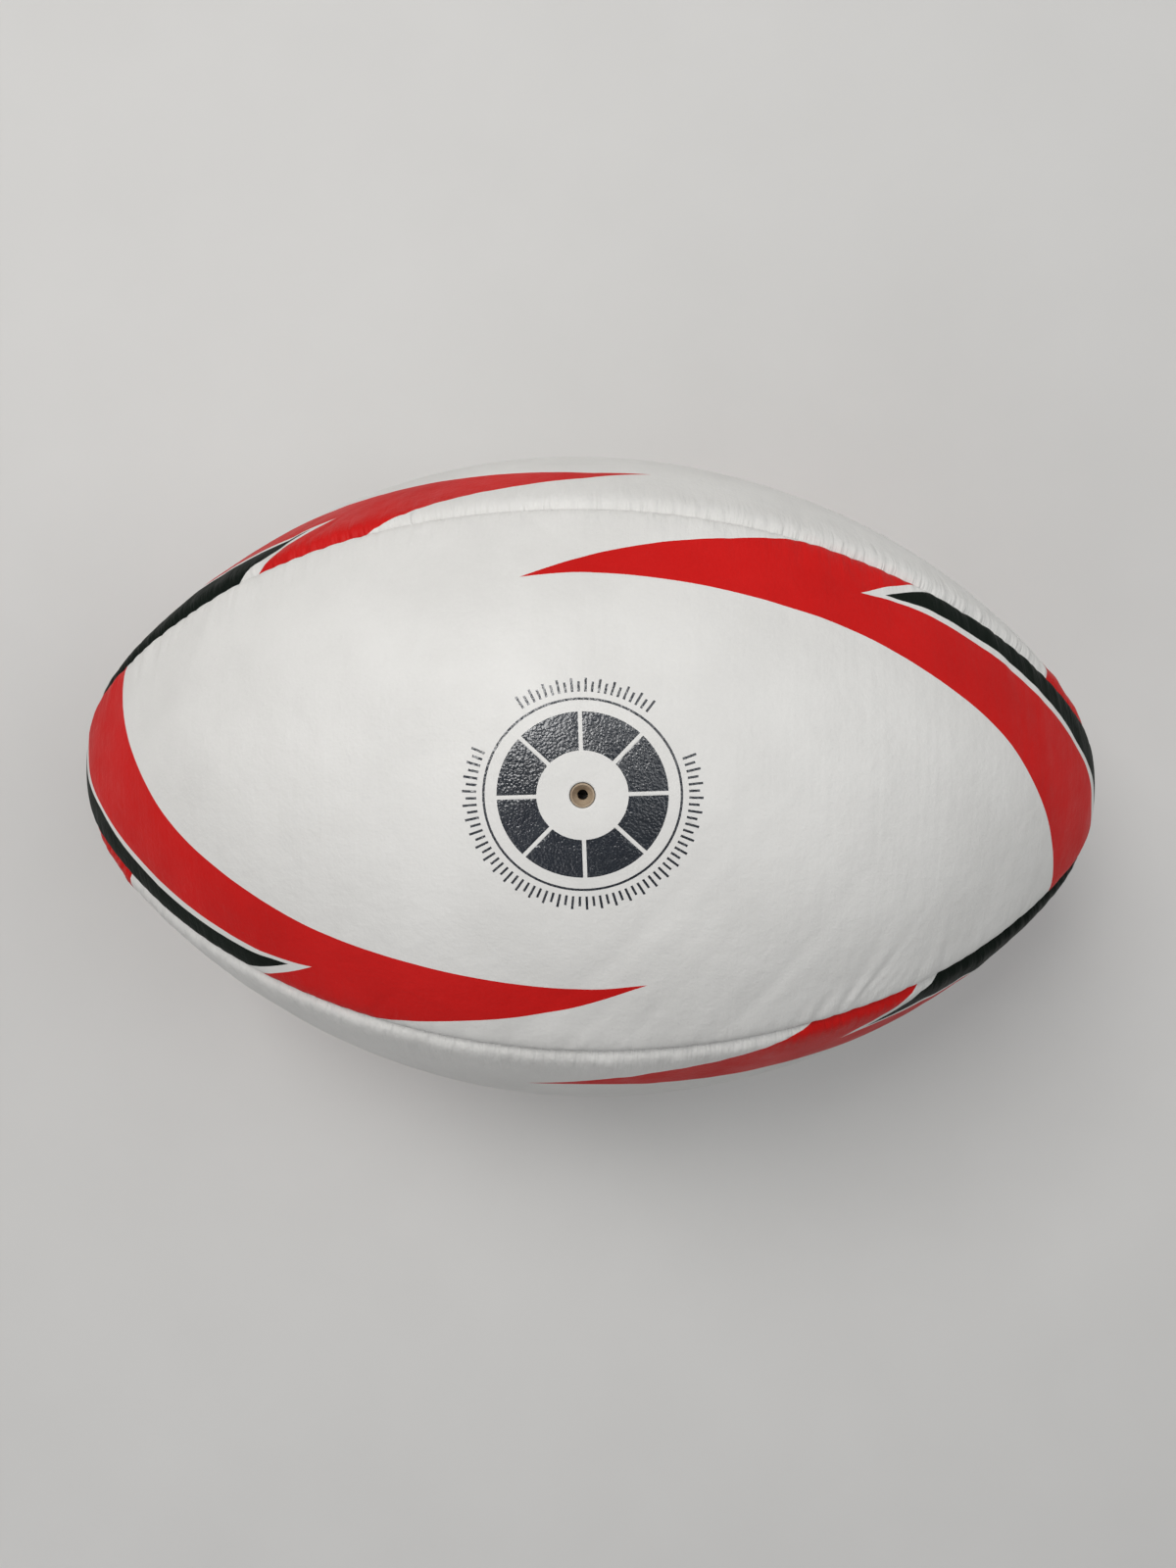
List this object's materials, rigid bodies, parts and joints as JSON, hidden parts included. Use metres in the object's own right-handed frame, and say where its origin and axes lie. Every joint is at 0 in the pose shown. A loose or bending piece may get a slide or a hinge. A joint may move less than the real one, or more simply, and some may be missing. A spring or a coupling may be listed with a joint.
{
  "type": "rugby ball",
  "caption": "Oval rugby ball of sewn panels over laminated fabric plies, with an inflated bladder, a flush needle valve and point-to-point sewn seams.",
  "frame": {"origin": "centre of the ball, halfway between its two points on its long axis", "axes": "+X along the ball's long axis to the right-hand point, +Z out through the needle valve, +Y completes the right hand"},
  "size_m": [0.2996, 0.186, 0.186],
  "materials": {
    "panel_skin": "satin synthetic leather with fine grain, printed in red and black",
    "woven_ply": "matte woven backing",
    "waxed_thread": "waxed",
    "latex": "matte latex",
    "patch_cloth": "matte woven",
    "valve_rubber": "matte rubber",
    "core_rubber": "matte rubber"
  },
  "bodies": {
    "root": {"top_panel_skin": "panel_skin", "front_panel_skin": "panel_skin", "base_panel_skin": "panel_skin", "rear_panel_skin": "panel_skin", "top_panel_outer_ply": "woven_ply", "front_panel_outer_ply": "woven_ply", "base_panel_outer_ply": "woven_ply", "rear_panel_outer_ply": "woven_ply", "top_panel_inner_ply": "woven_ply", "front_panel_inner_ply": "woven_ply", "base_panel_inner_ply": "woven_ply", "rear_panel_inner_ply": "woven_ply", "top_front_seam_thread": "waxed_thread", "front_base_seam_thread": "waxed_thread", "base_rear_seam_thread": "waxed_thread", "rear_top_seam_thread": "waxed_thread", "left_point_knot": "waxed_thread", "right_point_knot": "waxed_thread", "bladder": "latex", "valve_patch": "patch_cloth", "valve_housing": "valve_rubber", "valve_core": "core_rubber"}
  },
  "joints": []
}
